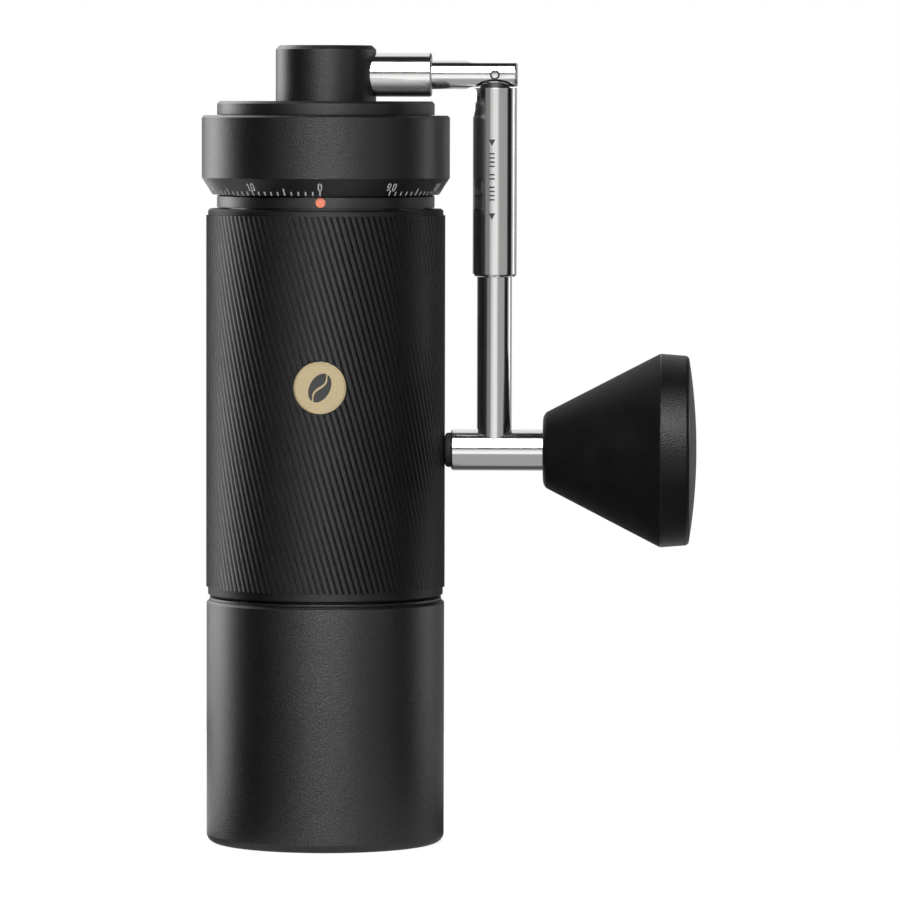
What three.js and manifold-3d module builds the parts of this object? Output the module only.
// Hand crank coffee grinder with an external adjusting ring and a folding crank.
// Millimetres, +Z up. The origin is the centre of the cup's base; the badge faces -Y, the crank lies on +X.
import * as THREE from "three";
import { mergeVertices } from "three/addons/utils/BufferGeometryUtils.js";
import Module from "manifold-3d";

const wasm = await Module();
wasm.setup();

// ---------------------------------------------------------------- driving dimensions
const clearance = 0.3; // between neighbours that are assembled or run on each other
const slipClearance = 0.15; // between faces that slide on each other, and round a bonded inlay

// Catch cup
const cupInset = 0.09; // from the flutes' crests in to the cup's wall
const cupHeight = 56.6;
const cupWall = 2.53;
const cupFloor = 2.4;
const cupFootFillet = 2.1;
const cupRimFillet = 0.9;
const cupFloorFillet = 3.5;

// Body tube
const neckStep = 0.8; // the neck is thinner than the tube by this
const neckWall = 1.4;
const flangeInset = 0.72; // from the flutes' crests in to the flange
const flangeThickness = 0.7;
const spigotStep = 1.3; // the spigot is thicker than the tube by this
const spigotLength = 10;
const burrBoreStep = 0.8; // the bore round the burr is wider than the hopper by this
const oRingSection = 0.5;
const oRingDepth = 5.6; // from the flange down to the ring's middle

// Grip
const gripRadius = 27.52; // over the flutes' crests
const gripWall = 4.52; // from the crests to the bore
const gripLength = 89.15;
const bandInset = 0.42; // from the crests in to the plain bands
const lowerBandHeight = 2.35;
const upperBandHeight = 1.65;
const gripChamfer = 0.6;
const fluteCount = 120;
const fluteDepth = 0.35;
const fluteTwist = 0.6; // degrees round the grip for each millimetre of height
const badgeRadius = 6;
const badgeRise = 48.7; // from the grip's foot to the badge's middle
const badgeThickness = 0.75;
const badgePocketDepth = 1.42; // below the crests of the flutes

// Index collar
const collarInset = 2.47; // from the flutes' crests in to the collar
const collarHeight = 2.82;
const dotRadius = 1.25;
const dotDepth = 0.9;

// Dial ring
const dialOverhang = 1.03; // beyond the flutes' crests
const dialHeight = 18.22;
const dialBevelDepth = 2.35; // from the rim in to the bevel's foot
const dialBevelHeight = 3.45;
const dialFootHeight = 0.55;
const dialTopFillet = 0.7;
const dialWall = 3.85;
const dialLipHeight = 1.9;
const ballRadius = 0.75;
const ballInset = 1.4; // from the index collar's rim in to the balls
const detentWire = 0.12;
const detentPocketDepth = 2.52;
const snapThickness = 1;
const snapRise = 2.2; // the snap ring's rim stands this far out of the neck

// Bearing carrier and shaft
const carrierRise = 4.98; // from the dial's underside to the carrier
const carrierHeight = 6;
const carrierHubRadius = 9.8;
const carrierFloor = 0.8;
const armWidth = 4;
const armThickness = 4;
const carrierTravel = 1.35;
const bearingOuter = 7.5;
const bearingWidth = 5;
const shaftRadius = 3;
const shaftBody = 3.8;
const hexAcross = 5.6;
const clipThickness = 0.7;
const clipWall = 2.3;
const clipGroove = 0.7;

// Burrs
const outerBurrHeight = 16;
const outerBurrRecess = 0.9; // from the spigot's mouth up to the burr
const outerBurrMouthWall = 5.4;
const outerBurrThroatWall = 8.6;
const innerBurrDrop = 0.3; // the inner burr hangs this far below the outer one
const burrTeeth = 20;
const toothDepth = 0.8;
const burrGap = 0.4; // between the burrs at their mouth
const innerBurrTaper = 7; // from the mouth in to the top
const innerBurrHeight = 14.3;
const bracketHeight = 5.8;
const bracketRimWall = 3.4;
const screwInset = 1.7; // from the outer burr's wall in to the screws' axes
const screwRadius = 1.25;
const screwHeadRadius = 1.8;
const screwHeadHeight = 1.6;
const screwLength = 19;
const springWire = 0.4;
const burrSpringRadius = 4.4;
const burrSpringHeight = 5.6;
const washerRadius = 6.5;
const washerThickness = 0.9;
const nutAcross = 10;
const nutHeight = 3.6;

// Lid
const lidInset = 3.51; // from the dial's rim in to the lid's
const lidThickness = 3.11;
const lidGapZ = 0.25;
const lidTopFillet = 1;
const lidPlugClearance = 0.4; // between the plug and the dial's bore
const lidPlugDepth = 1.85;
const lidBossWall = 2.55;
const lidBossDepth = 4.3;
const bushingWall = 2.1;
const gasketInset = 0.9; // from the plug's rim in to the gasket's
const gasketWidth = 2.7;
const gasketThickness = 0.69;

// Crank
const hubRadius = 11.55;
const hubHeight = 12.4;
const hubTopFillet = 1.1;
const hubNeckWall = 2;
const hubNeckLength = 9.5;
const socketRadius = 4.6;
const socketLength = 18.3;
const socketCap = 0.8;
const rodHeight = 5.7; // of the rod's axis above the hub's underside
const rodRadius = 3.34;
const rodFlat = 2.7; // half the height across the rod's flats
const rodFlatLength = 6; // from the pin back towards the hub
const hubCollarWall = 1.41;
const hubCollarLength = 12.85; // outside the hub
const hubRecess = 2;
const bumperGap = 0.33; // between the bumper and the grip
const forkTip = 5.2; // from the pin to the fork's end
const forkSlot = 3.2;
const forkSlotDepth = 6.2; // from the pin back into the rod
const pinRadius = 1;

// Arm and sleeve
const armLength = 86.3; // from the pin to the crosspiece
const armRadius = 4;
const armNeckStep = 1.1; // the neck is thinner than the arm by this
const armNeckLength = 41.3; // from the pin down to the shoulder
const tongueThickness = 2.6;
const tongueLength = 6.6;
const sleeveWall = 0.75;
const sleeveEnd = 46.4; // from the pin down to the sleeve's lower end
const sleeveLobeRise = 1.35;
const sleeveLobeWidth = 3.95;
const sleeveSlotWidth = 4.8;
const sleeveSlotDepth = 9.8; // from the pin down to the slot's round end
const sleeveLip = 11.2; // from the pin down to the inner lip that the spring pushes on
const sleeveLipHeight = 2;
const sleeveWire = 0.45;
const sleeveTurns = 7;
const crossRadius = 4.77;
const crossBack = 9.9; // from the arm's axis to the bumper end
const crossFront = 12.9; // from the arm's axis to the spindle's shoulder
const crossChamfer = 0.45;
const armSpigotRadius = 2.7;
const bumperRadius = 3.98;
const bumperThickness = 1.15;
const bumperStem = 1.7;
const bumperStemLength = 4;

// Knob, measured along the spindle from the arm's axis
const spindleRadius = 3;
const spindleEnd = 34.6;
const knobOverlap = 1.7; // the knob reaches this far back over the crosspiece's shoulder
const knobSmallRadius = 8.7;
const knobFlare = 13.4; // how much wider the cone is at its large end
const knobConeLength = 26.7;
const knobWall = 3;
const bandWidth = 6.4;
const bandLip = 0.2; // the band stands proud of the cone
const bandTaper = 0.5;
const bandWall = 4.3;
const bandSpigotLength = 3;
const capRise = 2;
const bandCorner = 0.9; // the slope between the band and the cap
const capSpigotLength = 3.8;
const knobBushWall = 2.3;
const knobBushLength = 5;
const knobScrewRadius = 3.6;
const knobScrewHeight = 2.6;

// ---------------------------------------------------------------- sizes that follow from them
// Heights
const bodyBaseZ = cupHeight; // the flange's underside stands on the cup's rim
const gripZ = bodyBaseZ + flangeThickness;
const badgeZ = gripZ + badgeRise;
const collarZ = gripZ + gripLength;
const dialZ = collarZ + collarHeight + slipClearance;
const dialTopZ = dialZ + dialHeight;
const lidZ = dialTopZ + lidGapZ;
const lidTopZ = lidZ + lidThickness;
const lidPlugZ = lidZ - lidPlugDepth;
const neckTopZ = lidPlugZ - gasketThickness - slipClearance;
const hubZ = lidTopZ + clearance;
const rodZ = hubZ + rodHeight;
const socketZ = hubZ - hubNeckLength;
const hexTopZ = socketZ + socketLength - socketCap - clearance;
const spigotZ = bodyBaseZ - spigotLength;
const outerBurrBottomZ = spigotZ + outerBurrRecess;
const burrTopZ = outerBurrBottomZ + outerBurrHeight;
const bracketTopZ = burrTopZ + bracketHeight;
const lowerBearingZ = bracketTopZ - bearingWidth;
const carrierZ = dialZ + carrierRise;
const upperBearingZ = carrierZ + carrierFloor;
const snapZ = dialZ + dialLipHeight + clearance;
const innerBurrZ = outerBurrBottomZ - innerBurrDrop;
const innerBurrTopZ = innerBurrZ + innerBurrHeight;
const burrSpringTopZ = burrTopZ - clearance;
const burrSpringZ = burrSpringTopZ - burrSpringHeight;

// Radii, inwards from the grip
const cupRadius = gripRadius - cupInset;
const bandRadius = gripRadius - bandInset;
const gripBore = gripRadius - gripWall;
const tubeRadius = gripBore - clearance;
const flangeRadius = gripRadius - flangeInset;
const spigotRadius = tubeRadius + spigotStep;
const neckRadius = tubeRadius - neckStep;
const hopperRadius = neckRadius - neckWall;
const burrBore = hopperRadius + burrBoreStep;
const outerBurrRadius = burrBore - clearance;
const outerBurrMouth = outerBurrRadius - outerBurrMouthWall;
const outerBurrThroat = outerBurrRadius - outerBurrThroatWall;
const innerBurrRadius = outerBurrMouth - burrGap;
const innerBurrTop = innerBurrRadius - innerBurrTaper;
const bracketRing = outerBurrRadius - bracketRimWall;
const screwCircle = outerBurrRadius - screwInset;
const collarRadius = gripRadius - collarInset;
const ballCircle = collarRadius - ballInset;
const snapRadius = neckRadius + snapRise;
const dialRadius = gripRadius + dialOverhang;
const dialBevelRadius = dialRadius - dialBevelDepth;
const dialThreadRadius = dialRadius - dialWall;
const lidRadius = dialRadius - lidInset;
const lidPlugRadius = dialThreadRadius - lidPlugClearance;
const gasketOuter = lidPlugRadius - gasketInset;
const gasketInner = gasketOuter - gasketWidth;

// Crank, arm and knob
const hubNeckRadius = socketRadius + clearance + hubNeckWall;
const bushingRadius = hubNeckRadius + clearance + bushingWall;
const lidBossRadius = bushingRadius + slipClearance + lidBossWall;
const pinReach = gripRadius + bumperGap + bumperThickness + crossBack;
const rodFlatStart = pinReach - rodFlatLength;
const hubCollarRadius = rodRadius + clearance + hubCollarWall;
const hubCollarEnd = hubRadius + hubCollarLength;
const sleeveTopDrop = rodFlat + clearance; // from the pin down to the sleeve's rim
const sleeveBore = armRadius + clearance;
const sleeveRadius = sleeveBore + sleeveWall;
const armNeckRadius = armRadius - armNeckStep;
const knobStart = crossFront - knobOverlap;
const knobConeEnd = knobStart + knobConeLength;
const knobLargeRadius = knobSmallRadius + knobFlare;
const bandZ = knobConeEnd + clearance;
const capZ = bandZ + bandWidth;
const bandFrontRadius = knobLargeRadius + bandLip;
const bandBackRadius = bandFrontRadius - bandTaper;
const bandInnerRadius = bandBackRadius - bandWall;
const capEdgeRadius = bandBackRadius - bandCorner;
const knobBushRadius = spindleRadius + clearance + knobBushWall;

// ---------------------------------------------------------------- shape helpers
const fullTurn = 2 * Math.PI;

// A closed three.js geometry as a solid, turned to face outwards.
function solid(geometry) {
  const bare = geometry.clone();
  bare.deleteAttribute("normal");
  bare.deleteAttribute("uv");
  const merged = mergeVertices(bare, 1e-4);
  const at = merged.attributes.position;
  const corners = [new THREE.Vector3(), new THREE.Vector3(), new THREE.Vector3()];
  const faces = [];
  let volume = 0;
  for (let i = 0; i < merged.index.count; i += 3) {
    const face = [0, 1, 2].map((k) => merged.index.getX(i + k));
    if (new Set(face).size < 3) continue;
    face.forEach((v, k) => corners[k].fromBufferAttribute(at, v));
    volume += corners[0].dot(corners[1].clone().cross(corners[2]));
    faces.push(face);
  }
  const facing = volume < 0 ? faces.map(([a, b, c]) => [a, c, b]) : faces;
  return new wasm.Manifold(
    new wasm.Mesh({
      numProp: 3,
      vertProperties: new Float32Array(at.array),
      triVerts: new Uint32Array(facing.flat()),
    }),
  );
}

function geometryOf(shape) {
  const mesh = shape.getMesh();
  return new THREE.BufferGeometry()
    .setAttribute("position", new THREE.BufferAttribute(mesh.vertProperties, 3))
    .setIndex(new THREE.BufferAttribute(mesh.triVerts, 1));
}

// A profile of [radius, height] points turned round Z.
function turned(profile, sides = 24) {
  const points = profile.map(([r, z]) => new THREE.Vector2(Math.max(r, 0), z));
  return solid(new THREE.LatheGeometry(points, sides).rotateX(Math.PI / 2));
}

// A turned tube, given by its closed outline.
const ring = (outline, sides) => turned([...outline, outline[0]], sides);
const disc = (radius, low, high, sides) =>
  turned([[0, low], [radius, low], [radius, high], [0, high]], sides);
const washer = (inner, outer, low, high, sides) =>
  ring([[inner, low], [outer, low], [outer, high], [inner, high]], sides);

// Points of a quarter-round or other arc in a profile, from one angle to another in degrees.
function arc(r, z, radius, from, to, steps = 3) {
  return Array.from({ length: steps + 1 }, (_, i) => {
    const a = THREE.MathUtils.degToRad(from + ((to - from) * i) / steps);
    return [r + radius * Math.cos(a), z + radius * Math.sin(a)];
  });
}

function block(x, y, z, cx = 0, cy = 0, cz = 0) {
  return solid(new THREE.BoxGeometry(x, y, z).translate(cx, cy, cz));
}

// A prism of a flat outline in X and Y, from one height to another.
function prism(outline, low, high) {
  const shape = new THREE.Shape(outline.map(([x, y]) => new THREE.Vector2(x, y)));
  const body = new THREE.ExtrudeGeometry(shape, { depth: high - low, bevelEnabled: false });
  return solid(body.translate(0, 0, low));
}

function polygon(sides, across) {
  const radius = across / 2 / Math.cos(Math.PI / sides);
  return Array.from({ length: sides }, (_, i) => {
    const a = (fullTurn * i) / sides;
    return [radius * Math.cos(a), radius * Math.sin(a)];
  });
}

// A round bar along X, from one place to another.
const barX = (radius, from, to, sides = 24, z = 0) =>
  solid(new THREE.CylinderGeometry(radius, radius, to - from, sides)
    .rotateZ(Math.PI / 2).translate((from + to) / 2, 0, z));
const barY = (radius, length, x, y, z, sides = 32) =>
  solid(new THREE.CylinderGeometry(radius, radius, length, sides).translate(x, y, z));

// A compression spring round Z, standing between two heights.
function spring(radius, wire, low, high, turns, sides = 5) {
  class Helix extends THREE.Curve {
    getPoint(t, target = new THREE.Vector3()) {
      const a = t * turns * fullTurn;
      return target.set(radius * Math.cos(a), radius * Math.sin(a), low + wire + t * (high - low - 2 * wire));
    }
  }
  const section = new THREE.Shape(polygon(sides, 2 * wire).map(([x, y]) => new THREE.Vector2(x, y)));
  return solid(new THREE.ExtrudeGeometry(section, {
    steps: Math.round(turns * 8), extrudePath: new Helix(), bevelEnabled: false,
  }));
}

// A retaining ring with its gap towards +X.
function snapRing(inner, outer, low, high, sides = 18) {
  const gap = block(outer, 2 * clipWall, 2 * (high - low), outer, 0, (low + high) / 2);
  return washer(inner, outer, low, high, sides).subtract(gap);
}

// Walls of a star-shaped bar whose section turns as it rises, such as flutes or burr teeth.
// levels is a list of [height, crest radius, root radius, turn in radians].
function starBar(teeth, levels) {
  const around = teeth * 2;
  const points = levels.flatMap(([z, crest, root, turn]) =>
    Array.from({ length: around }, (_, i) => {
      const r = i % 2 ? root : crest;
      const a = turn + (fullTurn * i) / around;
      return [r * Math.cos(a), r * Math.sin(a), z];
    }));
  const index = [];
  levels.slice(1).forEach((_, level) => {
    for (let i = 0; i < around; i++) {
      const [a, b] = [level * around + i, level * around + ((i + 1) % around)];
      index.push(a, b, b + around, a, b + around, a + around);
    }
  });
  const [bottom, top] = [points.length, points.length + 1];
  points.push([0, 0, levels[0][0]], [0, 0, levels.at(-1)[0]]);
  for (let i = 0; i < around; i++) {
    const next = (i + 1) % around;
    index.push(bottom, next, i, top, points.length - 2 - around + i, points.length - 2 - around + next);
  }
  const geometry = new THREE.BufferGeometry()
    .setAttribute("position", new THREE.Float32BufferAttribute(points.flat(), 3));
  return solid(geometry.setIndex(index));
}

const turnTo = (shape, degrees) => shape.rotate([0, 0, degrees]);
const threeWays = [90, 210, 330];

// ---------------------------------------------------------------- finishes
const finishes = {
  mattBlack: [0x242426, 0.62, 0.7],
  sleeveBlack: [0x1e1e20, 0.5, 0.7],
  softBlack: [0x1a1a1b, 0.85, 0],
  satinSteel: [0xb9b9b6, 0.3, 1],
  darkSteel: [0x8c8c8a, 0.35, 1],
  springSteel: [0x9a9a9c, 0.3, 1],
  gold: [0xcbb98a, 0.35, 1],
  coral: [0xfa8c6e, 0.5, 0],
  rubber: [0x151515, 0.9, 0],
  nylon: [0xd8d4c8, 0.6, 0],
};

const grinder = new THREE.Group();
const crank = new THREE.Group();
const arm = new THREE.Group();
const knob = new THREE.Group();
grinder.add(crank);
crank.add(arm);
arm.add(knob);
crank.position.set(0, 0, rodZ); // the rod's axis
arm.position.set(pinReach, 0, 0); // the knuckle pin
knob.position.set(0, 0, -armLength); // the spindle, with local Z along it
knob.rotation.y = Math.PI / 2;

function add(group, name, shape, finish) {
  const [color, roughness, metalness] = finishes[finish];
  const mesh = new THREE.Mesh(
    geometryOf(shape),
    new THREE.MeshStandardMaterial({ color, roughness, metalness, flatShading: true }),
  );
  mesh.name = name;
  group.add(mesh);
}

// ---------------------------------------------------------------- catch cup
function catchCup() {
  const bore = cupRadius - cupWall;
  const mouth = spigotRadius + clearance;
  const mouthZ = cupHeight - spigotLength - 1;
  return turned([
    [0, 0],
    ...arc(cupRadius - cupFootFillet, cupFootFillet, cupFootFillet, -90, 0, 2),
    ...arc(cupRadius - cupRimFillet, cupHeight - cupRimFillet, cupRimFillet, 0, 90, 2),
    [mouth, cupHeight],
    [mouth, mouthZ],
    [bore, mouthZ - 1],
    ...arc(bore - cupFloorFillet, cupFloor + cupFloorFillet, cupFloorFillet, 0, -90, 2),
    [0, cupFloor],
  ], 40);
}
add(grinder, "catch_cup", catchCup(), "mattBlack");

// ---------------------------------------------------------------- body
const grooveRadius = spigotRadius - 2 * oRingSection - clearance;
const oRingZ = bodyBaseZ - oRingDepth;
const slotBottomZ = carrierZ + carrierHeight - armThickness - carrierTravel - 3 * clearance;

function bodyTube() {
  const snapGroove = [snapRadius - clipWall - clearance, snapZ - slipClearance];
  const tube = ring([
    [burrBore, spigotZ],
    [spigotRadius, spigotZ],
    [spigotRadius, oRingZ - oRingSection - clearance],
    [grooveRadius, oRingZ - oRingSection - clearance],
    [grooveRadius, oRingZ + oRingSection + clearance],
    [spigotRadius, oRingZ + oRingSection + clearance],
    [spigotRadius, bodyBaseZ],
    [flangeRadius, bodyBaseZ],
    [flangeRadius, gripZ],
    [tubeRadius, gripZ],
    [tubeRadius, collarZ],
    [neckRadius, collarZ],
    [neckRadius, snapGroove[1]],
    [snapGroove[0], snapGroove[1]],
    [snapGroove[0], snapZ + snapThickness + slipClearance],
    [neckRadius, snapZ + snapThickness + slipClearance],
    [neckRadius, neckTopZ],
    [hopperRadius, neckTopZ],
    [hopperRadius, bracketTopZ],
    [burrBore, bracketTopZ],
  ], 30);
  const reach = neckRadius + 2;
  const slotHeight = neckTopZ + 1 - slotBottomZ;
  const slot = block(reach, armWidth + 2 * clearance, slotHeight, reach / 2 + 6, 0, slotBottomZ + slotHeight / 2);
  return threeWays.reduce((shape, a) => shape.subtract(turnTo(slot, a)), tube);
}
add(grinder, "body_tube", bodyTube(), "darkSteel");
add(grinder, "cup_o_ring", ring(
  arc(grooveRadius + clearance + oRingSection, oRingZ, oRingSection, 0, 300, 5), 24), "rubber");

// The flutes are one twisted star; plain bands close them off above and below.
const badgeFloorY = gripRadius - badgePocketDepth;
function flutedGrip() {
  const low = gripZ + lowerBandHeight;
  const high = collarZ - upperBandHeight;
  const steps = 4;
  const flutes = starBar(fluteCount, Array.from({ length: steps + 1 }, (_, i) => {
    const z = low + ((high - low) * i) / steps;
    return [z, gripRadius, gripRadius - fluteDepth, -THREE.MathUtils.degToRad(fluteTwist * (z - low))];
  }));
  const lowerBand = ring([
    [gripBore, gripZ], [bandRadius - gripChamfer, gripZ], [bandRadius, gripZ + gripChamfer],
    [bandRadius, low], [gripBore, low],
  ], 48);
  const upperBand = ring([
    [gripBore, high], [bandRadius, high], [bandRadius, collarZ - gripChamfer],
    [bandRadius - gripChamfer, collarZ], [gripBore, collarZ],
  ], 48);
  const bore = disc(gripBore, gripZ - 1, collarZ + 1, 48);
  const pocket = barY(badgeRadius + slipClearance, 10, 0, -badgeFloorY - 5, badgeZ);
  return flutes.subtract(bore).add(lowerBand).add(upperBand).subtract(pocket);
}
add(grinder, "fluted_grip", flutedGrip(), "sleeveBlack");
add(grinder, "badge", barY(badgeRadius, badgeThickness, 0, -badgeFloorY - badgeThickness / 2, badgeZ), "gold");

// ---------------------------------------------------------------- index collar, dot and clicks
const ballAngles = [60, 240];
const ballZ = collarZ + collarHeight - 0.2;
const pocketZ = collarZ + collarHeight - detentPocketDepth;
const collarDot = (radius, depth) =>
  barY(radius, depth, 0, -collarRadius + dotDepth / 2 - (depth - dotDepth) / 2, collarZ + collarHeight / 2, 24);

function indexCollar() {
  const edge = 0.2;
  const collar = ring([
    [neckRadius + clearance, collarZ], [collarRadius, collarZ], [collarRadius, collarZ + collarHeight - edge],
    [collarRadius - edge, collarZ + collarHeight], [neckRadius + clearance, collarZ + collarHeight],
  ], 40);
  const pocket = solid(new THREE.CylinderGeometry(ballRadius + 0.2, ballRadius + 0.2, 2 * detentPocketDepth, 12)
    .rotateX(Math.PI / 2).translate(ballCircle, 0, collarZ + collarHeight));
  return ballAngles.reduce((shape, a) => shape.subtract(turnTo(pocket, a)), collar)
    .subtract(collarDot(dotRadius + 0.03, dotDepth + 0.6));
}
add(grinder, "index_collar", indexCollar(), "mattBlack");
add(grinder, "index_dot", collarDot(dotRadius, dotDepth - 0.05), "coral");
ballAngles.forEach((angle, i) => {
  const ball = solid(new THREE.SphereGeometry(ballRadius, 10, 6).translate(ballCircle, 0, ballZ));
  const coil = spring(ballRadius - detentWire, detentWire, pocketZ + 0.05, ballZ - ballRadius - 0.05, 3, 4)
    .translate([ballCircle, 0, 0]);
  add(grinder, `detent_ball_${i + 1}`, turnTo(ball, angle), "darkSteel");
  add(grinder, `detent_spring_${i + 1}`, turnTo(coil, angle), "springSteel");
});

// ---------------------------------------------------------------- dial ring
function dialRing() {
  const lip = neckRadius + clearance;
  const lipZ = dialZ + dialLipHeight;
  const groove = ballRadius + 0.2;
  const bevelFoot = dialZ + dialFootHeight;
  return ring([
    [lip, dialZ],
    [ballCircle - groove, dialZ],
    [ballCircle - groove, dialZ + ballRadius],
    [ballCircle + groove, dialZ + ballRadius],
    [ballCircle + groove, dialZ],
    [dialBevelRadius - 0.5, dialZ],
    [dialBevelRadius, bevelFoot],
    [dialRadius, bevelFoot + dialBevelHeight],
    ...arc(dialRadius - dialTopFillet, dialTopZ - dialTopFillet, dialTopFillet, 0, 90, 2),
    [dialThreadRadius, dialTopZ],
    [dialThreadRadius, lipZ],
    [lip, lipZ],
  ], 40);
}
add(grinder, "dial_ring", dialRing(), "mattBlack");
add(grinder, "dial_snap_ring",
  snapRing(snapRadius - clipWall, snapRadius, snapZ, snapZ + snapThickness, 30), "springSteel");

// ---------------------------------------------------------------- bearings and their carriers
const bearing = (z) => washer(shaftRadius + clearance, bearingOuter, z, z + bearingWidth);
const seat = bearingOuter + slipClearance;

function bearingCarrier() {
  const top = carrierZ + carrierHeight;
  const hubShape = ring([
    [shaftBody + clearance * 2, carrierZ], [carrierHubRadius, carrierZ], [carrierHubRadius, top],
    [seat, top], [seat, upperBearingZ], [shaftBody + clearance * 2, upperBearingZ],
  ]);
  const reach = dialThreadRadius - clearance;
  const start = (seat + carrierHubRadius) / 2;
  const beam = block(reach, armWidth, armThickness, start + reach / 2, 0, top - armThickness / 2)
    .intersect(disc(reach, carrierZ, top, 36));
  return threeWays.reduce((shape, a) => shape.add(turnTo(beam, a)), hubShape);
}
add(grinder, "bearing_carrier", bearingCarrier(), "mattBlack");
add(grinder, "upper_bearing", bearing(upperBearingZ), "satinSteel");

function lowerBracket() {
  const lip = burrSpringRadius - springWire;
  const hubShape = ring([
    [lip, burrTopZ], [carrierHubRadius, burrTopZ], [carrierHubRadius, bracketTopZ],
    [seat, bracketTopZ], [seat, lowerBearingZ], [lip, lowerBearingZ],
  ]);
  const rim = washer(bracketRing, outerBurrRadius, burrTopZ, bracketTopZ, 30);
  const length = (bracketRing + outerBurrRadius) / 2 - seat - 1;
  const beam = block(length, armWidth, bracketHeight, seat + 1 + length / 2, 0, burrTopZ + bracketHeight / 2);
  const hole = disc(screwRadius + clearance, burrTopZ - 1, bracketTopZ + 1, 12).translate([screwCircle, 0, 0]);
  const spider = threeWays.reduce((shape, a) => shape.add(turnTo(beam, a + 60)), hubShape.add(rim));
  return threeWays.reduce((shape, a) => shape.subtract(turnTo(hole, a)), spider);
}
add(grinder, "lower_bracket", lowerBracket(), "mattBlack");
add(grinder, "lower_bearing", bearing(lowerBearingZ), "satinSteel");

// ---------------------------------------------------------------- burrs
function outerBurr() {
  const body = disc(outerBurrRadius, outerBurrBottomZ, burrTopZ, 36);
  const margin = 1;
  const slope = (outerBurrMouth - outerBurrThroat) / outerBurrHeight;
  const level = (z) => {
    const r = outerBurrMouth - slope * (z - outerBurrBottomZ);
    return [z, r + toothDepth, r, 0.035 * (z - outerBurrBottomZ)];
  };
  const steps = 2;
  const low = outerBurrBottomZ - margin;
  const cone = starBar(burrTeeth, Array.from({ length: steps + 1 }, (_, i) =>
    level(low + ((outerBurrHeight + 2 * margin) * i) / steps)));
  const shank = disc(screwRadius + clearance, outerBurrBottomZ - 1, burrTopZ + 1, 12);
  const head = disc(screwHeadRadius + clearance, outerBurrBottomZ - 1, outerBurrBottomZ + screwHeadHeight, 16);
  const hole = shank.add(head).translate([screwCircle, 0, 0]);
  return threeWays.reduce((shape, a) => shape.subtract(turnTo(hole, a)), body.subtract(cone));
}
add(grinder, "outer_burr", outerBurr(), "satinSteel");

threeWays.forEach((angle, i) => {
  const headTop = outerBurrBottomZ + screwHeadHeight;
  const shape = turned([
    [0, headTop - screwHeadHeight], [screwHeadRadius, headTop - screwHeadHeight],
    [screwHeadRadius, headTop], [screwRadius, headTop], [screwRadius, outerBurrBottomZ + screwLength],
    [0, outerBurrBottomZ + screwLength],
  ], 12);
  const drive = prism(polygon(6, 1.3), headTop - screwHeadHeight - 1, headTop - screwHeadHeight + 0.8);
  add(grinder, `burr_screw_${i + 1}`, turnTo(shape.subtract(drive).translate([screwCircle, 0, 0]), angle), "darkSteel");
});

function innerBurr() {
  const levels = [
    [0, innerBurrRadius, innerBurrRadius - 0.6],
    [0.24, innerBurrRadius - 0.9, innerBurrRadius - 0.9 - toothDepth],
    [0.6, innerBurrRadius - 3.6, innerBurrRadius - 3.6 - 1.5 * toothDepth],
    [1, innerBurrTop, innerBurrTop - 2 * toothDepth],
  ].map(([t, crest, root]) => [innerBurrZ + t * innerBurrHeight, crest, root, -0.05 * t * innerBurrHeight]);
  const recess = disc(burrSpringRadius + springWire + clearance, burrSpringZ - clearance, innerBurrTopZ + 1);
  const bore = disc(shaftRadius + clearance, innerBurrZ - 1, innerBurrTopZ + 1);
  return starBar(burrTeeth, levels).subtract(recess).subtract(bore);
}
add(grinder, "inner_burr", innerBurr(), "satinSteel");
add(grinder, "burr_spring", spring(burrSpringRadius, springWire, burrSpringZ, burrSpringTopZ, 3), "springSteel");

const washerZ = innerBurrZ - washerThickness;
const nutZ = washerZ - nutHeight;
const nutBore = disc(shaftRadius + clearance, nutZ - 1, innerBurrZ + 1);
add(grinder, "burr_washer", disc(washerRadius, washerZ, innerBurrZ).subtract(nutBore), "darkSteel");
add(grinder, "burr_nut", prism(polygon(6, nutAcross), nutZ, washerZ).subtract(nutBore), "darkSteel");

// ---------------------------------------------------------------- drive shaft
const shaftClipZ = upperBearingZ + bearingWidth + slipClearance;
function driveShaft() {
  const hexBottomZ = shaftClipZ + clipThickness + 1.5;
  const bottom = nutZ - 1;
  const shoulderZ = bracketTopZ + carrierTravel + clearance;
  const body = turned([
    [0, bottom], [shaftRadius, bottom], [shaftRadius, shoulderZ], [shaftBody, shoulderZ],
    [shaftBody, upperBearingZ - clearance], [shaftRadius, upperBearingZ - clearance],
    [shaftRadius, shaftClipZ - slipClearance],
    [shaftRadius - clipGroove, shaftClipZ - slipClearance],
    [shaftRadius - clipGroove, shaftClipZ + clipThickness + slipClearance],
    [shaftRadius, shaftClipZ + clipThickness + slipClearance],
    [shaftRadius, hexBottomZ], [0, hexBottomZ],
  ]);
  return body.add(prism(polygon(6, hexAcross), hexBottomZ - 0.5, hexTopZ));
}
add(grinder, "drive_shaft", driveShaft(), "satinSteel");
add(grinder, "shaft_circlip", snapRing(
  shaftRadius - clipGroove + slipClearance, shaftRadius - clipGroove + slipClearance + clipWall,
  shaftClipZ, shaftClipZ + clipThickness), "springSteel");

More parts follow.
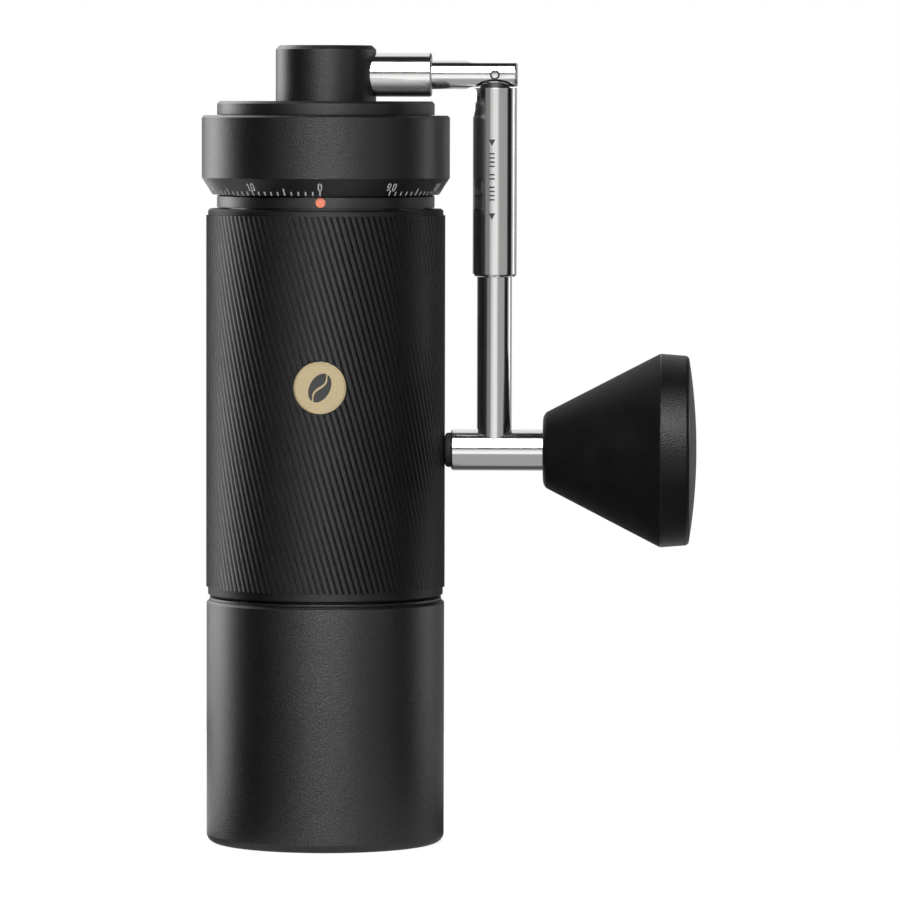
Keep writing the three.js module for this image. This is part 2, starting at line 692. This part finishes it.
// ---------------------------------------------------------------- lid
const lidBore = bushingRadius + slipClearance;
const lidBossZ = lidZ - lidBossDepth;
function lid() {
  return ring([
    [lidBore, lidBossZ], [lidBossRadius, lidBossZ], [lidBossRadius, lidPlugZ],
    [lidPlugRadius, lidPlugZ], [lidPlugRadius, lidZ], [lidRadius, lidZ],
    ...arc(lidRadius - lidTopFillet, lidTopZ - lidTopFillet, lidTopFillet, 0, 90, 2),
    [lidBore, lidTopZ],
  ], 36);
}
add(grinder, "lid", lid(), "mattBlack");
add(grinder, "lid_gasket", washer(gasketInner, gasketOuter, neckTopZ + slipClearance, lidPlugZ, 30), "rubber");
add(grinder, "lid_bushing", washer(hubNeckRadius + clearance, bushingRadius, lidBossZ, lidTopZ), "nylon");

// ---------------------------------------------------------------- hub, heights from the rod's axis
const hubBase = -rodHeight;
const hubTop = hubBase + hubHeight;
const neckEnd = hubBase - hubNeckLength;
const hubClipZ = lidBossZ - rodZ - slipClearance - clipThickness;
const socketBore = socketRadius + clearance;

function hub() {
  const turnedHub = turned([
    [0, neckEnd], [hubNeckRadius, neckEnd],
    [hubNeckRadius, hubClipZ - slipClearance],
    [hubNeckRadius - clipGroove, hubClipZ - slipClearance],
    [hubNeckRadius - clipGroove, lidBossZ - rodZ],
    [hubNeckRadius, lidBossZ - rodZ],
    [hubNeckRadius, hubBase], [hubRadius - 0.3, hubBase], [hubRadius, hubBase + 0.3],
    ...arc(hubRadius - hubTopFillet, hubTop - hubTopFillet, hubTopFillet, 0, 90, 2),
    [0, hubTop],
  ], 36);
  const well = disc(socketBore, neckEnd - 1, neckEnd + socketLength + clearance);
  const rodHole = barX(rodRadius + clearance, 0, hubRadius + 1, 24);
  const recess = barX(hubCollarRadius + clearance, hubRadius - hubRecess, hubRadius + 1);
  return turnedHub.subtract(well).subtract(rodHole).subtract(recess);
}
add(crank, "hub", hub(), "mattBlack");

function driveSocket() {
  const hex = prism(polygon(6, hexAcross + 2 * clearance), neckEnd - 1, neckEnd + socketLength - socketCap);
  return disc(socketRadius, neckEnd, neckEnd + socketLength).subtract(hex);
}
add(crank, "drive_socket", driveSocket(), "satinSteel");
add(crank, "lid_circlip", snapRing(
  hubNeckRadius - clipGroove + slipClearance, hubNeckRadius - clipGroove + slipClearance + clipWall,
  hubClipZ, hubClipZ + clipThickness), "springSteel");
add(crank, "hub_collar",
  barX(hubCollarRadius, hubRadius - hubRecess + clearance, hubCollarEnd)
    .subtract(barX(rodRadius + clearance, 0, hubCollarEnd + 1, 24)), "satinSteel");

// The rod is flattened above and below towards its fork, and the slot takes the arm's tongue.
function forkRod() {
  const tip = pinReach + forkTip;
  const start = socketRadius + 3 * clearance;
  const edge = 0.7;
  const round = solid(new THREE.CylinderGeometry(rodRadius, rodRadius, tip - edge - start, 32)
    .rotateZ(Math.PI / 2).translate((start + tip - edge) / 2, 0, 0));
  const nose = solid(new THREE.CylinderGeometry(rodRadius, rodRadius - edge, edge, 32)
    .rotateZ(Math.PI / 2).translate(tip - edge / 2, 0, 0));
  const flats = [1, -1].map((side) =>
    block(tip, 3 * rodRadius, rodRadius, rodFlatStart + tip / 2, 0, side * (rodFlat + rodRadius / 2)));
  const slotLength = forkSlotDepth + forkTip + 1;
  const slot = block(slotLength, forkSlot, 3 * rodRadius, pinReach - forkSlotDepth + slotLength / 2, 0, 0);
  const pinHole = barY(pinRadius + clearance, 3 * rodRadius, pinReach, 0, 0, 20);
  return round.add(nose).subtract(flats[0]).subtract(flats[1]).subtract(slot).subtract(pinHole);
}
add(crank, "fork_rod", forkRod(), "satinSteel");
add(crank, "knuckle_pin", barY(pinRadius, 2 * rodRadius - 0.3, pinReach, 0, 0, 20), "satinSteel");

// ---------------------------------------------------------------- arm, heights from the pin
const crossClearance = crossRadius + clearance;
function armRod() {
  const spigotEnd = -armLength - crossRadius / 2;
  const body = turned([
    [0, spigotEnd], [armSpigotRadius, spigotEnd], [armSpigotRadius, -armLength],
    [armRadius, -armLength], [armRadius, -armNeckLength], [armNeckRadius, -armNeckLength],
    [armNeckRadius, -tongueLength], [0, -tongueLength],
  ]);
  const saddle = barX(crossClearance, -2 * armRadius, 2 * armRadius, 32, -armLength);
  const spigot = disc(armSpigotRadius, spigotEnd, -armLength + crossClearance + 1);
  const tongueRadius = rodFlat - 0.1;
  const tongue = block(2 * tongueRadius, tongueThickness, tongueLength + 1, 0, 0, -(tongueLength + 1) / 2)
    .add(barY(tongueRadius, tongueThickness, 0, 0, 0, 24));
  return body.subtract(saddle).add(spigot).add(tongue)
    .subtract(barY(pinRadius + clearance, 2 * tongueThickness, 0, 0, 0, 20));
}
add(arm, "arm_rod", armRod(), "satinSteel");

// The sleeve's rim clears the fork's underside, and two round lobes reach up on each side of the fork.
function pullSleeve() {
  const rim = -sleeveTopDrop;
  const lobeTop = rim + sleeveLobeRise;
  const lip = armNeckRadius + clearance;
  const edge = 0.8;
  const tube = ring([
    [sleeveBore, -sleeveEnd], [sleeveRadius - edge, -sleeveEnd], [sleeveRadius, -sleeveEnd + edge],
    [sleeveRadius, lobeTop], [sleeveBore, lobeTop], [sleeveBore, -sleeveLip],
    [lip, -sleeveLip], [lip, -sleeveLip - sleeveLipHeight], [sleeveBore, -sleeveLip - sleeveLipHeight],
  ], 32);
  const span = 3 * sleeveRadius;
  const forkRoom = block(span, 2 * (rodRadius + clearance), span, 0, 0, rim + span / 2);
  const lobeRadius = (sleeveLobeWidth ** 2 + sleeveLobeRise ** 2) / (2 * sleeveLobeRise);
  const lobes = barY(lobeRadius, span, 0, 0, lobeTop - lobeRadius, 64)
    .add(block(span, span, sleeveEnd, 0, 0, rim - sleeveEnd / 2));
  const slotEnd = -sleeveSlotDepth + sleeveSlotWidth / 2;
  const slot = block(span, sleeveSlotWidth, span, -span / 2, 0, slotEnd + span / 2)
    .add(solid(new THREE.CylinderGeometry(sleeveSlotWidth / 2, sleeveSlotWidth / 2, span, 24)
      .rotateZ(Math.PI / 2).translate(-span / 2, 0, slotEnd)));
  return tube.intersect(lobes).subtract(forkRoom).subtract(slot);
}
add(arm, "pull_sleeve", pullSleeve(), "satinSteel");
add(arm, "sleeve_spring", spring(
  (armNeckRadius + sleeveBore) / 2, sleeveWire / 2,
  -armNeckLength + 0.1, -sleeveLip - sleeveLipHeight - 0.1, sleeveTurns), "springSteel");

// ---------------------------------------------------------------- crosspiece and bumper, along local Z
function crosspiece() {
  const body = turned([
    [0, -crossBack], [crossRadius - crossChamfer, -crossBack], [crossRadius, -crossBack + crossChamfer],
    [crossRadius, crossFront], [spindleRadius, crossFront], [spindleRadius, spindleEnd], [0, spindleEnd],
  ]);
  const socket = disc(bumperStem + clearance, -crossBack - 1, -crossBack + bumperStemLength + clearance, 20);
  const armHole = barX(armSpigotRadius + clearance, -2 * crossRadius, crossRadius / 2 + clearance);
  const thread = disc(1.5 + clearance, spindleEnd - 9, spindleEnd + 1, 16);
  return body.subtract(socket).subtract(armHole).subtract(thread);
}
add(knob, "crosspiece", crosspiece(), "satinSteel");
add(knob, "bumper", turned([
  [0, -crossBack - bumperThickness], [bumperRadius - 0.2, -crossBack - bumperThickness],
  [bumperRadius, -crossBack - bumperThickness + 0.2], [bumperRadius, -crossBack],
  [bumperStem, -crossBack], [bumperStem, -crossBack + bumperStemLength], [0, -crossBack + bumperStemLength],
]), "rubber");

// ---------------------------------------------------------------- knob
const innerBushZ = crossFront + clearance;
const outerBushZ = spindleEnd - slipClearance - knobBushLength;
const knobBore = knobBushRadius + slipClearance;
const bandSpigotRadius = bandInnerRadius + 1.2;

function knobBody() {
  const slope = (knobLargeRadius - knobSmallRadius) / knobConeLength;
  const cavityStart = knobStart + 9;
  const cavityInner = knobBore + 2.4;
  const stepZ = knobConeEnd - bandSpigotLength - clearance;
  const tubeEnd = outerBushZ + knobBushLength;
  return ring([
    [crossRadius + clearance, knobStart],
    [knobSmallRadius - 0.7, knobStart],
    [knobSmallRadius, knobStart + 0.7],
    [knobLargeRadius, knobConeEnd - 0.6],
    [knobLargeRadius - 0.1, knobConeEnd],
    [bandSpigotRadius + clearance, knobConeEnd],
    [bandSpigotRadius + clearance, stepZ],
    [knobLargeRadius - slope * (knobConeEnd - stepZ) - knobWall - 0.5, stepZ],
    [knobSmallRadius + slope * (cavityStart - knobStart) - knobWall + 1.4, cavityStart],
    [cavityInner, cavityStart],
    [cavityInner, tubeEnd],
    [knobBore, tubeEnd],
    [knobBore, innerBushZ],
    [crossRadius + clearance, innerBushZ - 0.2],
  ], 36);
}
add(knob, "knob_body", knobBody(), "softBlack");

add(knob, "knob_band", ring([
  [bandInnerRadius, knobConeEnd - bandSpigotLength],
  [bandSpigotRadius, knobConeEnd - bandSpigotLength],
  [bandSpigotRadius, bandZ],
  [bandFrontRadius - 0.3, bandZ],
  [bandFrontRadius, bandZ + 0.6],
  [bandBackRadius, capZ - bandCorner],
  [bandBackRadius - bandCorner, capZ],
  [bandInnerRadius, capZ],
], 36), "softBlack");

function knobCap() {
  const domeRadius = (capEdgeRadius ** 2 + capRise ** 2) / (2 * capRise);
  const edge = THREE.MathUtils.radToDeg(Math.asin(capEdgeRadius / domeRadius));
  return turned([
    [0, capZ - capSpigotLength],
    [bandInnerRadius - clearance, capZ - capSpigotLength],
    [bandInnerRadius - clearance, capZ],
    ...arc(0, capZ + capRise - domeRadius, domeRadius, 90 - edge, 90, 3),
  ], 36);
}
add(knob, "knob_cap", knobCap(), "mattBlack");

const bush = (z) => washer(spindleRadius + clearance, knobBushRadius, z, z + knobBushLength, 20);
add(knob, "knob_bush_inner", bush(innerBushZ), "nylon");
add(knob, "knob_bush_outer", bush(outerBushZ), "nylon");

const knobWasherZ = spindleEnd + slipClearance;
add(knob, "knob_washer", washer(1.5 + clearance, knobBushRadius - 0.4, knobWasherZ, knobWasherZ + 0.8, 20), "darkSteel");
function knobScrew() {
  const head = knobWasherZ + 0.8;
  const shape = turned([
    [0, spindleEnd - 8], [1.5, spindleEnd - 8], [1.5, head], [knobScrewRadius, head],
    [knobScrewRadius, head + knobScrewHeight - 0.5], [knobScrewRadius - 0.5, head + knobScrewHeight],
    [0, head + knobScrewHeight],
  ], 24);
  return shape.subtract(prism(polygon(6, 2.5), head + knobScrewHeight - 1.6, head + knobScrewHeight + 1));
}
add(knob, "knob_screw", knobScrew(), "darkSteel");

export default grinder;
